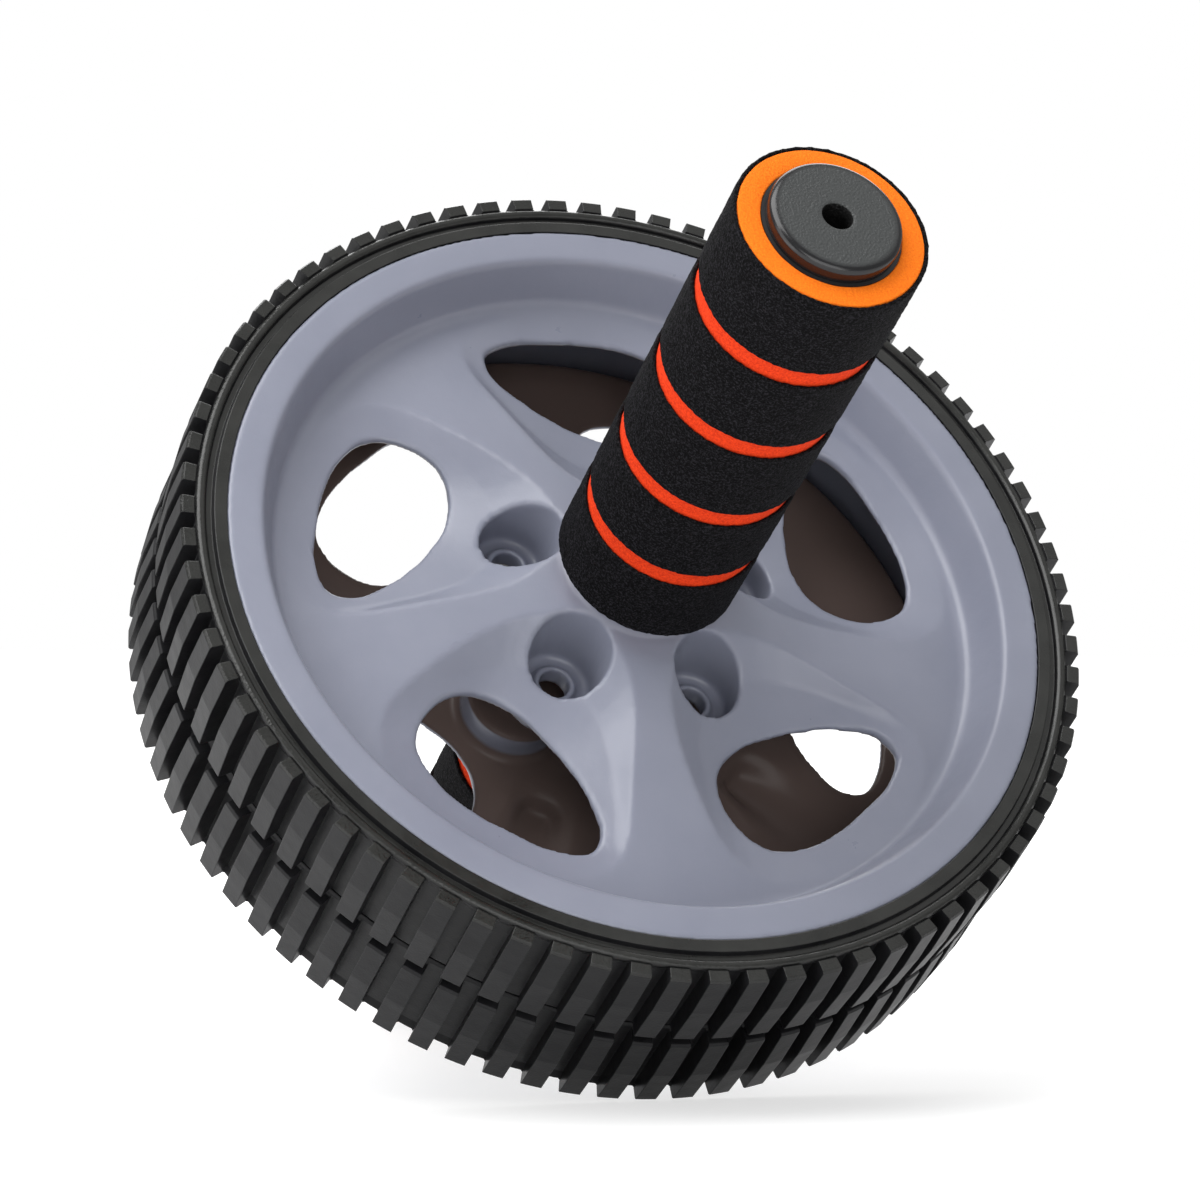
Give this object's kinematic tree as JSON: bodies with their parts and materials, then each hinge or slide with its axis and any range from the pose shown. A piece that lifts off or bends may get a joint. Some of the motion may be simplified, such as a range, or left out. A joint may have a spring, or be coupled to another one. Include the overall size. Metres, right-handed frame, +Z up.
{
  "type": "ab wheel roller",
  "caption": "Exercise roller: two lugged wheels with spoked plastic discs turn side by side on a straight axle between two ringed foam grips.",
  "frame": {"origin": "the middle of the pair of wheels, on the axle's axis", "axes": "+Y along the axle, away from the pictured end; +Z up with the roller standing on its tread; +X to the right as seen from the pictured end"},
  "size_m": [0.185, 0.266, 0.185],
  "materials": {
    "disc_plastic": "satin moulded grey plastic",
    "tyre_rubber": "black rubber, slight sheen",
    "bush_plastic": "natural plastic",
    "steel": "bright drawn steel",
    "handle_plastic": "black moulded plastic",
    "orange_foam": "closed-cell foam, orange",
    "black_foam": "closed-cell foam, black, grained",
    "cap_plastic": "grained face, smooth rounded edge"
  },
  "bodies": {
    "axle": {"axle": "steel", "middle_washer": "steel", "front_washer": "steel", "rear_washer": "steel", "front_handle": "handle_plastic", "rear_handle": "handle_plastic", "front_grip": "orange_foam", "rear_grip": "orange_foam", "front_grip_skin": "black_foam", "rear_grip_skin": "black_foam", "front_end_cap": "cap_plastic", "rear_end_cap": "cap_plastic"},
    "front_wheel": {"front_disc": "disc_plastic", "front_tyre": "tyre_rubber", "front_outer_bush": "bush_plastic", "front_inner_bush": "bush_plastic"},
    "rear_wheel": {"rear_disc": "disc_plastic", "rear_tyre": "tyre_rubber", "rear_outer_bush": "bush_plastic", "rear_inner_bush": "bush_plastic"}
  },
  "joints": [
    {"name": "front_wheel_spin", "type": "hinge", "parent": "axle", "child": "front_wheel", "pos_m": [0, 0, 0], "axis": [0, 1, 0], "continuous": true},
    {"name": "rear_wheel_spin", "type": "hinge", "parent": "axle", "child": "rear_wheel", "pos_m": [0, 0, 0], "axis": [0, 1, 0], "continuous": true}
  ]
}
